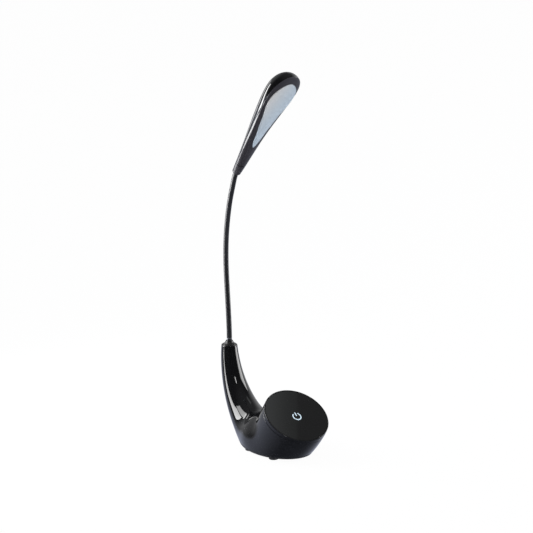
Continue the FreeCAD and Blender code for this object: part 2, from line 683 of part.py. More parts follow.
def head_slab(low_y=None, high_y=None, low_z=None, high_z=None):
    """Wide block in the head's frame; a side that isn't given lies clear of the head."""
    far = 2 * size("head_length")
    low = Vector(-far, -far if low_y is None else low_y, -far if low_z is None else low_z)
    high = Vector(far, far if high_y is None else high_y, far if high_z is None else high_z)
    return Part.makeBox(*(high - low), low)


def teardrop(points):
    """Closed smooth curve through points of the window's plane."""
    curve = Part.BSplineCurve()
    curve.interpolate(points, PeriodicFlag=True)
    return curve


def window_ends():
    """Where the light window begins and ends along the head."""
    return size("window_start"), size("head_length") - size("window_nose")


def window_outline(growth=0.0, level=0.0):
    """Teardrop outline of the light window at a level of the head, grown all round."""
    start, end = window_ends()
    places = list(zip(sizes("window_station"), sizes("window_width")))
    right = [Vector(width, 0, start + (end - start) * station) for station, width in places]
    left = [Vector(-point.x, 0, point.z) for point in right[1:]]
    points = [*right, Vector(0, 0, end), *reversed(left)]
    curve = teardrop(points)
    grown = []
    for point in points:
        along = curve.tangent(curve.parameter(point))[0]
        outward = along.cross(Vector(0, 1, 0)).normalize()
        if outward.dot(point - Vector(0, 0, (start + end) / 2)) < 0:
            outward = outward * -1
        grown.append(point + outward * growth + Vector(0, level, 0))
    return Part.Wire([teardrop(grown).toShape()])


def window_plate(low_y, high_y, growth=0.0):
    """Teardrop plate between two levels of the head, grown or drawn in all round."""
    face = Part.Face(window_outline(growth, low_y))
    return face.extrude(Vector(0, high_y - low_y, 0))


def in_head(name, shape):
    """Sub-part drawn in the head's frame."""
    return keep(name, tilt_on_head(shaped(name, shape)))


def head_bore(radius, depth):
    """Bore up the middle of the head's neck."""
    return Part.makeCylinder(radius, depth + size("tool_clear"), Vector(0, 0, -size("tool_clear")))


def make_head_shell():
    """Glossy crown of the head, hollow, with the bore for the ferrule at its neck."""
    split = size("head_split")
    solid = head_form()
    crown = solid.common(head_slab(low_y=split))
    hollow_start = size("ferrule_length") + size("ferrule_stop")
    hollow = head_form(size("head_wall")).common(head_slab(low_z=hollow_start))
    ferrule = head_bore(size("ferrule_radius") + size("thread_gap"), size("ferrule_length"))
    wire_way = head_bore(size("wire_way"), hollow_start + size("tool_clear"))
    in_head("head_shell", crown.cut(hollow).cut(ferrule).cut(wire_way))


def make_head_underside():
    """Satin bezel round the light window, and the short cover under the neck below the seam."""
    split = size("head_split")
    gap = size("bezel_gap")
    seam = size("head_seam_at")
    under = head_form().common(head_slab(high_y=split - size("bezel_seam")))
    window = window_plate(-size("head_length"), size("head_length"), gap)
    bezel = under.common(head_slab(low_z=seam + gap)).cut(window)
    ferrule = head_bore(size("ferrule_radius") + size("thread_gap"), size("ferrule_length"))
    wire_way = head_bore(size("wire_way"), size("window_start"))
    in_head("head_bezel", bezel.cut(ferrule).cut(wire_way))
    cover = under.common(head_slab(high_z=seam))
    in_head("neck_cover", cover.cut(ferrule).cut(wire_way))


def make_light():
    """Diffuser in the window, the white tray over it, the LED board, its LEDs and a spreader."""
    split = size("head_split")
    belly = -size("head_belly_4")
    flange_top = split + size("flange_thick")
    tray_top = flange_top + size("tray_height")
    board_top = tray_top + size("led_board_thick")
    plug = window_plate(belly, split)
    flange = window_plate(split, flange_top, size("flange_wide"))
    in_head("head_diffuser", plug.fuse(flange).removeSplitter())
    growth = size("tray_out")
    inside = window_plate(0, 2 * tray_top, growth - size("tray_wall"))
    tray = window_plate(flange_top, tray_top, growth).cut(inside)
    in_head("reflector_tray", tray)
    in_head("led_board", window_plate(tray_top, board_top, growth))
    spreader_top = board_top + size("spreader_thick")
    in_head("heat_spreader", window_plate(board_top, spreader_top, -size("spreader_in")))
    chips = []
    start, end = window_ends()
    reach = end - start
    outline = Part.Face(window_outline())
    wide, deep, thick = size("led_long"), size("led_wide"), size("led_thick")
    pitch = size("led_pitch")
    for row in range(int(reach / pitch)):
        for column in (-1, 0, 1):
            spot = Vector(column * pitch, 0, start + pitch * (row + 1))
            corner = spot + Vector(-wide / 2, tray_top - thick, -deep / 2)
            chip = Part.makeBox(wide, thick, deep, corner)
            inside_outline = outline.isInside(spot, 0.01, True)
            if inside_outline and chip.distToShape(tray)[0] >= size("led_edge"):
                chips.append(chip)
    in_head("led_chips", Part.makeCompound(chips))


def make_head_ferrule():
    """Metal bush in the head's neck; its hollow end turns on the last link's dome."""
    radius = size("ferrule_radius")
    bush = Part.makeCylinder(radius, size("ferrule_length"), Vector(0, 0, 0))
    dome = Part.makeSphere(size("neck_radius") + size("link_gap"), Vector(0, 0, -size("neck_gap")))
    bore = head_bore(size("neck_bore"), size("ferrule_length") + size("tool_clear"))
    in_head("head_ferrule", bush.cut(dome).cut(bore))


make_base_shell()
make_panel_rim()
make_bottom_cover()
make_ballast()
make_cover_screws()
make_rubber_feet()
make_touch_panel()
make_touch_board()
make_panel_details()
make_power_socket()
make_neck_anchor()
make_neck_nut()
make_stem_collar()
make_links()
make_head_shell()
make_head_underside()
make_light()
make_head_ferrule()
doc.recompute()

# Checks, then the files

for thing in doc.Objects:
    faults = [state for state in thing.State if state in ("Invalid", "Error")]
    if faults:
        raise RuntimeError(f"{thing.Label} did not compute: {faults}")
for name, thing in NODES.items():
    shape = thing.Shape
    if shape.isNull() or not shape.isValid() or not shape.Solids:
        raise RuntimeError(f"{name} has no valid solid")
for name, thing in NODES.items():
    thing.Shape.exportStep(f"parts/{name}.step")
    solids = thing.Shape.Solids
    volume = sum(solid.Volume for solid in solids)
    print(f"{name}: {len(solids)} solid(s), {volume:.0f} mm3")
for index, centre in enumerate(joint_centres()):
    print(f"joint {index} at {centre.x:.3f} {centre.y:.3f} {centre.z:.3f}")
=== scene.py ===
# %% [markdown]
# # A touch desk lamp: dressing a CAD frame in Blender
# The lamp has a pipe-shaped base in glossy black, a round touch panel, a thin gooseneck and a
# teardrop head. The CAD model gives every solid in metres. This lesson keeps the solids that are
# right as they are, and lays smooth skins, a sleeve for the neck and finishes over the rest.

# %% Frame and tools
import json
import math
import bmesh
import bpy
import numpy as np
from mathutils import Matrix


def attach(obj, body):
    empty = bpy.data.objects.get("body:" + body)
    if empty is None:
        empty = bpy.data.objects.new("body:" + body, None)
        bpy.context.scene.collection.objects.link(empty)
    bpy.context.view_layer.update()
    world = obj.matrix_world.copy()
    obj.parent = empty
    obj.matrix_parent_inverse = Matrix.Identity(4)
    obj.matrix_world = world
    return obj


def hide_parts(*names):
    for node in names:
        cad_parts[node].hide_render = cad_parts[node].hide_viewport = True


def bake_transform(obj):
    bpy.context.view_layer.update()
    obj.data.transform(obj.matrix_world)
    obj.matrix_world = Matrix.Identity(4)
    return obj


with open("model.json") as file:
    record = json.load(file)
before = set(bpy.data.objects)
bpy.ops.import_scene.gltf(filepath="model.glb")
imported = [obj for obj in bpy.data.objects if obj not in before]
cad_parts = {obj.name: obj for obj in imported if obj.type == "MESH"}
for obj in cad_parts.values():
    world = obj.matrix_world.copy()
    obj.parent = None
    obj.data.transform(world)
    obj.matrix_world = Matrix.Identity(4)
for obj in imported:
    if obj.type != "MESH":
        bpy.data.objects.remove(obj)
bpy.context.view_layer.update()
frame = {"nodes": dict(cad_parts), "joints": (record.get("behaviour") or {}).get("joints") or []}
NODES = frame["nodes"]
MM = 0.001

# %% [markdown]
# ## Splines and grids
# A skin needs two things: a smooth curve through a few known values, and a way to turn a grid of
# points into a mesh. The spline is the cubic one that CAD systems use. Its end slopes come from
# the cubic through the four values next to each end, so the skin follows the CAD's own surface.

# %% Spline
def spline(knots, values, at):
    """Cubic spline. Slopes m solve, at each inner knot,
    m[i-1]/h[i-1] + 2(1/h[i-1] + 1/h[i])m[i] + m[i+1]/h[i] = 3(d[i-1]/h[i-1] + d[i]/h[i]),
    where h are the gaps and d the mean slopes. Between knots each piece is Hermite's cubic."""
    knots, values, at = np.asarray(knots), np.asarray(values), np.asarray(at)
    gaps = np.diff(knots)
    rises = np.diff(values, axis=0) / gaps[:, None]
    count = len(knots)
    matrix = np.zeros((count, count))
    right = np.zeros((count, values.shape[1]))
    inner = np.arange(1, count - 1)
    matrix[inner, inner - 1] = 1 / gaps[:-1]
    matrix[inner, inner] = 2 / gaps[:-1] + 2 / gaps[1:]
    matrix[inner, inner + 1] = 1 / gaps[1:]
    right[inner] = 3 * (rises[:-1] / gaps[:-1, None] + rises[1:] / gaps[1:, None])
    for end, part in ((0, slice(0, 4)), (count - 1, slice(count - 4, count))):
        powers = np.vander(knots[part] - knots[end], 4, increasing=True)
        matrix[end, end] = 1
        right[end] = np.linalg.solve(powers, values[part])[1]
    slopes = np.linalg.solve(matrix, right)
    piece = np.clip(np.searchsorted(knots, at) - 1, 0, count - 2)
    gap = gaps[piece][:, None]
    t = (at - knots[piece])[:, None] / gap
    return ((1 + 2 * t) * (1 - t) ** 2 * values[piece] + t * (1 - t) ** 2 * gap * slopes[piece]
            + t * t * (3 - 2 * t) * values[piece + 1] - t * t * (1 - t) * gap * slopes[piece + 1])


def distances(points):
    """Distance of each point from the first one, measured from point to point."""
    return np.concatenate([[0], np.cumsum(np.linalg.norm(np.diff(points, axis=0), axis=1))])


# %% Mesh helpers
SHARP_ANGLE = math.radians(35)


def add_object(name, data, place=None):
    """Links a new object to the scene; a place is a 4 x 4 matrix."""
    made = bpy.data.objects.new(name, data)
    bpy.context.scene.collection.objects.link(made)
    if place is not None:
        made.matrix_world = place.T.tolist()
    return made


def shade(mesh):
    """Smooth shading that breaks where two faces meet at more than the sharp angle."""
    mesh.shade_smooth()
    mesh.set_sharp_from_angle(angle=SHARP_ANGLE)


def mesh_object(name, points, faces, body=None):
    """Object in metres, on a body, from an array of points in millimetres and their faces."""
    mesh = bpy.data.meshes.new(name)
    mesh.from_pydata((points.reshape(-1, 3) * MM).tolist(), [], faces)
    mesh.validate()
    shade(mesh)
    piece = add_object(name, mesh)
    if body:
        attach(piece, body)
    print(f"{name}: {len(mesh.vertices)} points, {len(mesh.polygons)} faces")
    return piece


def grid_faces(rows, columns, offset=0, closed=False):
    """Quads between the points of a grid whose columns close round; closed joins the last row."""
    last = rows if closed else rows - 1
    row, column = np.meshgrid(np.arange(last), np.arange(columns), indexing="ij")
    onward, beside = (row + 1) % rows, (column + 1) % columns
    quads = np.stack([row * columns + column, row * columns + beside,
                      onward * columns + beside, onward * columns + column], axis=-1)
    return (quads.reshape(-1, 4) + offset).tolist()


def capped(rows, columns, offset=0):
    """Faces of a tube of rings with a flat cap at each end."""
    ring = np.arange(columns) + offset
    first, last = ring[::-1].tolist(), (ring + (rows - 1) * columns).tolist()
    return [first, *grid_faces(rows, columns, offset), last]


# %% [markdown]
# ## Sloping pieces
# The touch panel slopes towards the hand and the head hangs down at a slope. Their forms are drawn
# upright, where the formulas are short, then turned about X and moved. Two helpers do that for
# every sloping piece.

# %% Slope helpers
def sloped(points, slope, place_y, place_z):
    """Points turned about X by a slope and moved: (x, Y + y cos - z sin, Z + y sin + z cos)."""
    x, y, z = np.moveaxis(points, -1, 0)
    s, c = math.sin(slope), math.cos(slope)
    return np.stack([x, place_y + c * y - s * z, place_z + s * y + c * z], -1)


def upright_of(slope):
    """Direction in which Z points after a turn about X by a slope."""
    return np.array([0, -math.sin(slope), math.cos(slope)])


# %% [markdown]
# ## The base's skin
# The real base is one glossy moulding: a bowl that narrows into a horn. Sculpting it would hide
# its logic, so it is a skin through ellipses with the CAD model's own sizes, in millimetres and
# degrees. Each ellipse is drawn flat, turned about X by its slope and moved to its centre, and the
# spline runs through all of them at once.

# %% Base sections
PANEL_Y, PANEL_Z, PANEL_SLOPE, PANEL_RADIUS = -56.3, 49.5, 33.8, 38.0
RIM_HEIGHT, SEAM = 4.6, 0.12
BASE_SECTIONS = np.array([  # Y and Z of the centre, slope, half width, half depth
    (-46.4, 36.0, 38.2, 37.6, 37.6), (-27.4, 17.5, 61.7, 36.7, 35.1),
    (-2.0, 12.2, 83.5, 34.5, 31.0), (26.9, 16.1, 115.3, 23.6, 22.5),
    (54.5, 38.2, 142.4, 16.6, 16.0), (70.5, 65.0, 160.0, 12.6, 12.6),
    (77.8, 100.8, 180.0, 9.2, 9.2)])
HORN_TOP_Y, HORN_TOP_Z, HORN_TOP_SLOPE = BASE_SECTIONS[-1, :3]
panel_slope = math.radians(PANEL_SLOPE)
panel_normal = upright_of(panel_slope)
print("base:", len(BASE_SECTIONS) + 1, "sections, horn's top at", HORN_TOP_Y, HORN_TOP_Z)


# %% Base form
def placed_sections(sections, angles):
    """Points c + R(slope)(w cos a, d sin a, 0) of every section: an array sections x angles x 3."""
    y, z, slope, wide, deep = sections.T[:, :, None]
    turn = np.radians(slope)
    across = wide * np.cos(angles)
    up = deep * np.sin(angles)
    return np.stack(np.broadcast_arrays(across, y + up * np.cos(turn), z + up * np.sin(turn)), -1)


def skin_rows(rings, rows):
    """Rings of points resampled along the form: the spline's knots lie a mean stride apart."""
    stride = np.linalg.norm(np.diff(rings, axis=0), axis=2).mean(axis=1)
    knots = np.concatenate([[0], np.cumsum(stride)])
    at = np.linspace(0, knots[-1], rows)
    return spline(knots, rings.reshape(len(rings), -1), at).reshape(rows, -1, 3)


def base_rings(rows, columns, drop):
    """Rings of the base from a drop below the panel's face up to the horn's top."""
    start = (PANEL_Y + drop * math.sin(panel_slope), PANEL_Z - drop * math.cos(panel_slope),
             PANEL_SLOPE, PANEL_RADIUS, PANEL_RADIUS)
    angles = np.linspace(0, 2 * np.pi, columns, endpoint=False)
    return skin_rows(placed_sections(np.vstack([start, BASE_SECTIONS]), angles), rows)


# %% [markdown]
# Both ends of the skin are rounded over. At the bowl's mouth the rounding makes the groove under
# the panel's ring. A Bevel modifier could do it, but a few more rings from a formula follow the
# skin exactly. At the horn's top the last rings first draw back by the rounding's radius, so the
# top stays at the height the CAD model gives it.

# %% Base skin
MOUTH_ROUND, MOUTH_EDGE = 0.5, 4.0
HORN_ROUND, HORN_EDGE, HORN_ROWS = 0.9, 3.0, 20


def eased(ring, normal, radius, inward):
    """Rings that round an edge over: ring points move in by r(1 - cos a) and out by r sin a.
    The last ring lies flat, further inward."""
    centre = ring.mean(axis=0)
    a = np.linspace(0, np.pi / 2, 6)[1:, None, None]
    out = ring - centre
    reach = np.linalg.norm(out, axis=1, keepdims=True)
    rounded = ring - out / reach * radius * (1 - np.cos(a)) + normal * radius * np.sin(a)
    flat = centre + out * (1 - inward / reach) + normal * radius
    return np.concatenate([rounded, flat[None]])


rings = base_rings(260, 176, RIM_HEIGHT + SEAM + MOUTH_ROUND)
mouth = eased(rings[0], panel_normal, MOUTH_ROUND, MOUTH_EDGE)[::-1]
horn_normal = upright_of(math.radians(HORN_TOP_SLOPE - 180))
rings[-HORN_ROWS:] -= horn_normal * np.linspace(0, HORN_ROUND, HORN_ROWS)[:, None, None]
top = eased(rings[-1], horn_normal, HORN_ROUND, HORN_EDGE)
base_points = np.concatenate([mouth, rings, top])
base_skin = mesh_object("base_skin", base_points, capped(*base_points.shape[:2]))

# %% [markdown]
# The form dips below the table line, as the CAD's does before it is cut. A Boolean with a large
# block could cut it. One bisecting plane at the seam above the bottom cover is simpler and exact,
# and the open edge is filled flat.

# %% Trimming a form by a plane
FOOT_HEIGHT, COVER_THICK = 2.2, 2.4


def trim(piece, point, normal):
    """Keeps what lies on the normal's side of a plane (in millimetres) and closes the cut."""
    shape = bmesh.new()
    shape.from_mesh(piece.data)
    everything = shape.verts[:] + shape.edges[:] + shape.faces[:]
    result = bmesh.ops.bisect_plane(shape, geom=everything, dist=1e-7,
                                    plane_co=[c * MM for c in point], plane_no=normal,
                                    clear_inner=True)
    edges = [item for item in result["geom_cut"] if isinstance(item, bmesh.types.BMEdge)]
    bmesh.ops.holes_fill(shape, edges=edges, sides=0)
    bmesh.ops.recalc_face_normals(shape, faces=shape.faces[:])
    shape.to_mesh(piece.data)
    shape.free()
    shade(piece.data)
    print(f"{piece.name} trimmed to {len(piece.data.polygons)} faces")


trim(base_skin, (0, 0, FOOT_HEIGHT + COVER_THICK + SEAM), (0, 0, 1))
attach(base_skin, "base")
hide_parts("base_shell")

# %% [markdown]
# ## Turned pieces
# The ring round the panel, the collar and the feet are round parts, as from a lathe. Blender's Spin
# could make them, with normals to mend afterwards. Here a profile of radius and height goes round
# an axis as one grid, whose faces point outwards from the start. The ring is then laid on the slope
# of the panel.

# %% Lathe
def arc(centre, radius, start, end, count=7):
    """Points of an arc in the profile plane, angles in degrees."""
    a = np.radians(np.linspace(start, end, count))
    return np.stack([centre[0] + radius * np.cos(a), centre[1] + radius * np.sin(a)], axis=1)


def turned(profile, columns):
    """Points (r cos a, r sin a, z) of a profile taken round the Z axis."""
    a = np.linspace(0, 2 * np.pi, columns, endpoint=False)
    radius, height = profile.T[:, :, None]
    return np.stack(np.broadcast_arrays(radius * np.cos(a), radius * np.sin(a), height), -1)


# %% Ring round the panel
RIM_LIP, RIM_ROUND, LIP_ROUND, RIM_COLUMNS = 1.1, 0.45, 0.15, 192
PANEL_SINK, PANEL_THICK, SHELF_RADIUS = 0.15, 1.6, 29.0
SPIGOT_OUTER, SPIGOT_WALL, SPIGOT_DEPTH = 35.0, 1.3, 3.0
lip = PANEL_RADIUS - RIM_LIP
shelf = -PANEL_SINK - PANEL_THICK
rim_side = PANEL_RADIUS - RIM_ROUND
spigot_inner = SPIGOT_OUTER - SPIGOT_WALL
spigot_end = -RIM_HEIGHT - SPIGOT_DEPTH
rim_profile = np.vstack([
    arc((rim_side, RIM_ROUND - RIM_HEIGHT), RIM_ROUND, -90, 0),
    arc((rim_side, -RIM_ROUND), RIM_ROUND, 0, 90),
    arc((lip + LIP_ROUND, -LIP_ROUND), LIP_ROUND, 90, 180, 4),
    [(lip, shelf), (SHELF_RADIUS, shelf), (SHELF_RADIUS, -RIM_HEIGHT)],
    [(spigot_inner, -RIM_HEIGHT), (spigot_inner, spigot_end)],
    [(SPIGOT_OUTER, spigot_end), (SPIGOT_OUTER, -RIM_HEIGHT)]])
rim_points = sloped(turned(rim_profile, RIM_COLUMNS), panel_slope, PANEL_Y, PANEL_Z)
rim = mesh_object("panel_ring", rim_points,
                  grid_faces(len(rim_profile), RIM_COLUMNS, closed=True), "base")
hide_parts("panel_rim")

# %% [markdown]
# The collar closes the horn round the gooseneck. It is a low cone with a soft foot and a small
# rounded lip, so it catches the light on both sides as the real one does.

# %% Collar
NECK_RADIUS, NECK_GAP, COLLAR_COLUMNS = 3.0, 0.05, 96
COLLAR_RADIUS, COLLAR_HEIGHT = 7.9, 4.6
collar_bore = NECK_RADIUS + NECK_GAP
collar_profile = np.vstack([
    [(collar_bore, 0.0), (COLLAR_RADIUS, 0.0)], arc((7.6, 0.3), 0.3, 0, 70, 4),
    [(6.6, 1.05), (5.6, 1.9), (4.8, 2.8), (4.25, 3.7)], arc((3.9, 4.15), 0.4, 20, 90, 5),
    [(collar_bore, COLLAR_HEIGHT)]])
collar_points = turned(collar_profile, COLLAR_COLUMNS) + (0, HORN_TOP_Y, HORN_TOP_Z)
collar = mesh_object("collar", collar_points,
                     grid_faces(len(collar_profile), COLLAR_COLUMNS, closed=True), "base")
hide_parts("stem_collar")

# %% [markdown]
# The feet are moulded rubber buttons with a rounded rim and a shallow dish, five alike. One profile
# is turned once and copied to the five places as whole arrays.

# %% Feet
FOOT_PLACES = np.array([(23.3, -45.0), (-23.3, -45.0), (26.5, -3.0), (-26.5, -3.0), (0.0, 26.0)])
FOOT_RADIUS, FOOT_TOP, DISH_DEPTH, POLE, FOOT_COLUMNS = 5.4, 2.95, 0.35, 0.02, 48
foot_profile = np.vstack([
    [(POLE, DISH_DEPTH), (3.4, DISH_DEPTH), (3.9, 0.08), (4.6, 0.0)],
    arc((4.6, 0.8), 0.8, 290, 360, 5), [(FOOT_RADIUS, FOOT_TOP), (POLE, FOOT_TOP)]])
one_foot = turned(foot_profile, FOOT_COLUMNS)[::-1].reshape(-1, 3)
offsets = np.column_stack([FOOT_PLACES, np.zeros(len(FOOT_PLACES))])
feet_faces = [face for index in range(len(FOOT_PLACES))
              for face in capped(len(foot_profile), FOOT_COLUMNS, index * len(one_foot))]
feet = mesh_object("feet", one_foot + offsets[:, None], feet_faces, "base")
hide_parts("rubber_feet")

# %% [markdown]
# ## The head's crown
# The head is a teardrop that starts round at the neck and ends in a blunt nose. Its sections are
# egg-shaped: a deep half ellipse for the crown and a shallow one for the light side. The crown is
# the part above a flat seam, so the full form is made and trimmed there.

# %% Head sections
HEAD_Y, HEAD_Z, HEAD_SLOPE, HEAD_LENGTH, HEAD_SPLIT = 62.4, 306.2, 41.2, 168.5, 1.5
HEAD_SECTIONS = np.array([  # share of the length, half width, crown, light side, lift of the middle
    (0.0, 5.0, 5.0, 5.0, 0.0), (0.12, 7.4, 6.6, 4.2, 0.5), (0.25, 9.6, 9.0, 2.6, 1.2),
    (0.40, 11.7, 13.6, 1.9, 1.5), (0.60, 16.0, 18.0, 1.7, 1.5), (0.72, 18.6, 19.4, 1.7, 1.5),
    (0.82, 19.5, 19.8, 1.7, 1.5)])
NOSE_STEPS = np.array([0.3, 0.55, 0.75, 0.9, 0.975, 0.998])
HEAD_ROWS, HEAD_COLUMNS = 220, 160
head_slope = math.radians(HEAD_SLOPE)
head_way = upright_of(head_slope)
print("head:", len(HEAD_SECTIONS), "sections and", len(NOSE_STEPS), "steps of the round nose")


# %% Head form
def head_rings():
    """Rings (w cos a, k + d sin a, s): depth d is the crown's above and the belly's below.
    Past the last section the nose shrinks as an ellipse does, by sqrt(1 - t^2)."""
    at, wide, crown, belly, keel = HEAD_SECTIONS.T
    shrink = np.sqrt(1 - NOSE_STEPS ** 2)
    reach = HEAD_LENGTH * (1 - at[-1])
    s = np.concatenate([at * HEAD_LENGTH, at[-1] * HEAD_LENGTH + reach * NOSE_STEPS])
    wide = np.concatenate([wide, wide[-1] * shrink])
    crown = np.concatenate([crown, crown[-1] * shrink])
    under = np.concatenate([belly + keel, (belly[-1] + keel[-1]) * shrink])
    keel = np.concatenate([keel, np.full(len(shrink), keel[-1])])
    a = np.linspace(0, 2 * np.pi, HEAD_COLUMNS, endpoint=False)
    up = np.where(np.sin(a) > 0, crown[:, None], under[:, None]) * np.sin(a)
    rings = np.stack(np.broadcast_arrays(wide[:, None] * np.cos(a), keel[:, None] + up,
                                         s[:, None]), -1)
    return skin_rows(rings, HEAD_ROWS)


head_form = head_rings()
crown_piece = mesh_object("head_crown", sloped(head_form, head_slope, HEAD_Y, HEAD_Z),
                          capped(HEAD_ROWS, HEAD_COLUMNS)[::-1])
crown_normal = np.array([0, math.cos(head_slope), math.sin(head_slope)])
trim(crown_piece, np.array([0, HEAD_Y, HEAD_Z]) + crown_normal * HEAD_SPLIT, crown_normal)
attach(crown_piece, "head")
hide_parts("head_shell")

# %% [markdown]
# ## The window's film
# A frosted film covers the light window. The CAD's diffuser lies under it, and its outline draws in
# too much near the lower tip, so the film brings the true teardrop. It lies on the head's light
# side, so its points take their height from the same sections, and its outline is one closed spline
# through a few stations. The film is a stack of thin rings along the head, closed at both ends.

# %% Window outline
WINDOW_START, WINDOW_END = 47.5, 158.0
WINDOW_SHAPE = np.array([(0.0, 0.0), (0.03, 2.1), (0.16, 4.9), (0.32, 8.0), (0.55, 12.4),
                         (0.78, 15.9), (0.93, 11.2), (1.0, 0.0)])  # share of length, half width


def window_half_widths(at):
    """Half width of the teardrop at places along the head. The spline goes round both tips: the
    outline's mirror image gives it two more points at each end."""
    stations = WINDOW_START + (WINDOW_END - WINDOW_START) * WINDOW_SHAPE[:, 0]
    side = np.column_stack([WINDOW_SHAPE[:, 1], stations])
    mirrored = side[::-1] * (-1, 1)
    outline = np.concatenate([mirrored[-3:-1], side, mirrored[1:3]])
    knots = distances(outline)
    curve = spline(knots, outline, np.linspace(knots[2], knots[-3], 800))
    return np.interp(at, curve[:, 1], curve[:, 0])


# %% Window film
FILM_PROUD, FILM_GAP, FILM_TIP = 0.13, 0.01, 0.04


def light_side(x, rings):
    """Height k - u sqrt(1 - (x/w)^2) of the light side, for rows of x at the rings' stations."""
    wide, keel = rings[:, 0, :1], rings[:, 0, 1:2]
    under = keel - rings[:, rings.shape[1] * 3 // 4, 1:2]
    return keel - under * np.sqrt(1 - (x / wide) ** 2)


def film_points(rows=120, columns=24):
    """Rings round the film's thickness: over the outer face, and back along the inner one. Rows
    lie at (start + end)/2 - (end - start)/2 cos a, so they are dense at the tips."""
    turn = np.linspace(FILM_TIP, np.pi - FILM_TIP, rows)
    place = (WINDOW_START + WINDOW_END) / 2 - (WINDOW_END - WINDOW_START) / 2 * np.cos(turn)
    stations = head_form[:, 0, 2]
    form = np.stack([np.interp(place, stations, values)
                     for values in head_form.reshape(HEAD_ROWS, -1).T], -1)
    across = window_half_widths(place)[:, None] * np.linspace(-1, 1, columns)
    height = light_side(across, form.reshape(rows, -1, 3))
    along_head = np.broadcast_to(place[:, None], across.shape)
    outer = np.stack([across, height - FILM_PROUD, along_head], -1)
    inner = np.stack([across, height - FILM_GAP, along_head], -1)[:, ::-1]
    return np.concatenate([outer, inner], axis=1)


film_grid = film_points()
film = mesh_object("window_film", sloped(film_grid, head_slope, HEAD_Y, HEAD_Z),
                   capped(*film_grid.shape[:2])[::-1], "head")

# %% [markdown]
# ## The gooseneck
# A steel hose in a thin rubber sleeve bends evenly. The CAD has rigid links for it, which would
# show as beads in a bent neck. The sleeve is drawn in thirteen lengths, each from the middle of one
# link to the middle of the next, with one joint in the middle of each length.

# %% Neck line
SLEEVE_IN_HORN, SLEEVE_IN_HEAD = 1.0, 8.0
centres = np.array([joint["pos_m"] for joint in frame["joints"]]) / MM
start = np.array([[0, HORN_TOP_Y, HORN_TOP_Z - SLEEVE_IN_HORN]])
finish = centres[-1:] + head_way * SLEEVE_IN_HEAD
line_points = np.concatenate([start, centres, finish])
line_knots = distances(line_points)
middles = (line_knots[1:-2] + line_knots[2:-1]) / 2
stops = np.concatenate([[0], middles, line_knots[-1:]])
print(f"neck: {line_knots[-1]:.1f} mm in {len(centres)} lengths")

# %% Sleeve
TANGENT_STEP, BEND_REACH = 0.01, 6.0 * MM


def sleeve_length(index, rows=30, columns=40):
    """Rings c(s) + r(n cos a + b sin a) round the neck's line; n is X and b is t x X."""
    s = np.linspace(stops[index], stops[index + 1], rows)
    line, after, before = (spline(line_knots, line_points, s + step)
                           for step in (0, TANGENT_STEP, -TANGENT_STEP))
    ahead = after - before
    ahead /= np.linalg.norm(ahead, axis=1, keepdims=True)
    side = np.array([1.0, 0, 0])
    up = np.cross(ahead, side)
    a = np.linspace(0, 2 * np.pi, columns, endpoint=False)[:, None]
    ring = line[:, None] + NECK_RADIUS * (side * np.cos(a) + up[:, None] * np.sin(a))
    piece = mesh_object(f"neck_sleeve_{index:02d}", ring, capped(rows, columns))
    joint = centres[index] * MM
    bend = ahead[rows // 2] * BEND_REACH
    tuple(joint - bend)
    tuple(joint + bend)
    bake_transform(piece)
    if index:
        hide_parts(f"gooseneck_link_{index:02d}")
    return piece


sleeves = [sleeve_length(index) for index in range(len(centres))]

# %% [markdown]
# ## Writing shader maths
# A material is a graph of nodes. To keep the maths readable, one class wraps a socket and turns
# Python's operators into Math nodes. Everything else comes from one method, `node`.

# %% Sockets as values
class Wire:
    """A socket of a node graph. wire * 2, 1 - wire and abs(wire) add Math nodes."""

    def __init__(self, graph, socket):
        self.graph = graph
        self.socket = socket

    def maths(self, operation, *values):
        """A Math node with these values or wires in its sockets."""
        return self.graph.node("ShaderNodeMath", {"operation": operation}, dict(enumerate(values)))

    def __add__(self, other):
        return self.maths("ADD", self, other)

    def __sub__(self, other):
        return self.maths("SUBTRACT", self, other)

    def __rsub__(self, other):
        return self.maths("SUBTRACT", other, self)

    def __mul__(self, other):
        return self.maths("MULTIPLY", self, other)

    def __abs__(self):
        return self.maths("ABSOLUTE", self)

    def most(self, other):
        """The larger of the two."""
        return self.maths("MAXIMUM", self, other)

    def ramp(self, low, high):
        """0 below low, 1 above high, and a smooth step between."""
        return self.graph.node("ShaderNodeMapRange", {"interpolation_type": "SMOOTHSTEP"},
                               {"Value": self, "From Min": low, "From Max": high})

    def output(self, name):
        """Another output of the same node."""
        return Wire(self.graph, self.socket.node.outputs[name])

    __radd__ = __add__
    __rmul__ = __mul__


# %% Node graphs
MIX_FIRST, MIX_SECOND, MIX_RESULT = 6, 7, 2  # the Mix node's colour sockets


